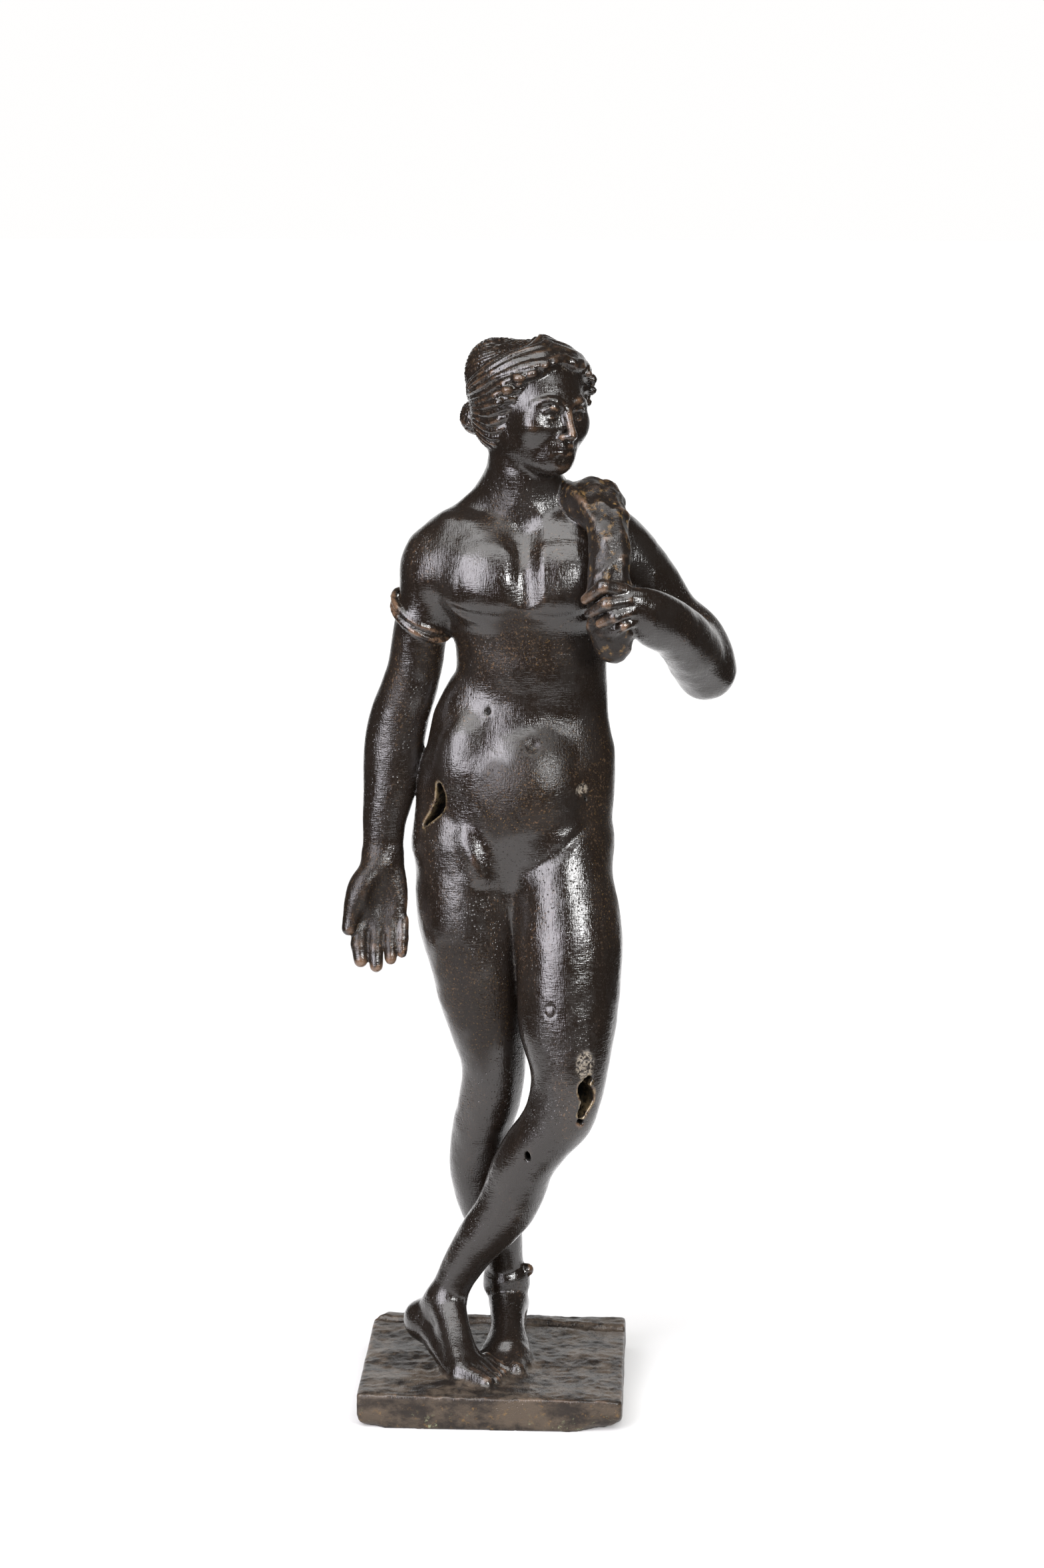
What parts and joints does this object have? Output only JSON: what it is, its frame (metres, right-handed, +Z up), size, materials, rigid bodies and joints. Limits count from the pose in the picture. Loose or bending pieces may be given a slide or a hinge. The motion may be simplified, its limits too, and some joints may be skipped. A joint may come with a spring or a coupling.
{
  "type": "female statuette",
  "caption": "Cast bronze figure of a standing woman, cross-legged on a square plate, one hand at her chest on a strip of drapery.",
  "frame": {"origin": "centre of the square plate's underside", "axes": "+Z up through the head, -Y to the front, towards which the chest faces, +X to the figure's left"},
  "size_m": [0.1102, 0.0747, 0.3009],
  "materials": {
    "bronze": "dark lacquered bronze, glossy, warm brown where worn"
  },
  "bodies": {
    "root": {"statuette": "bronze"}
  },
  "joints": []
}
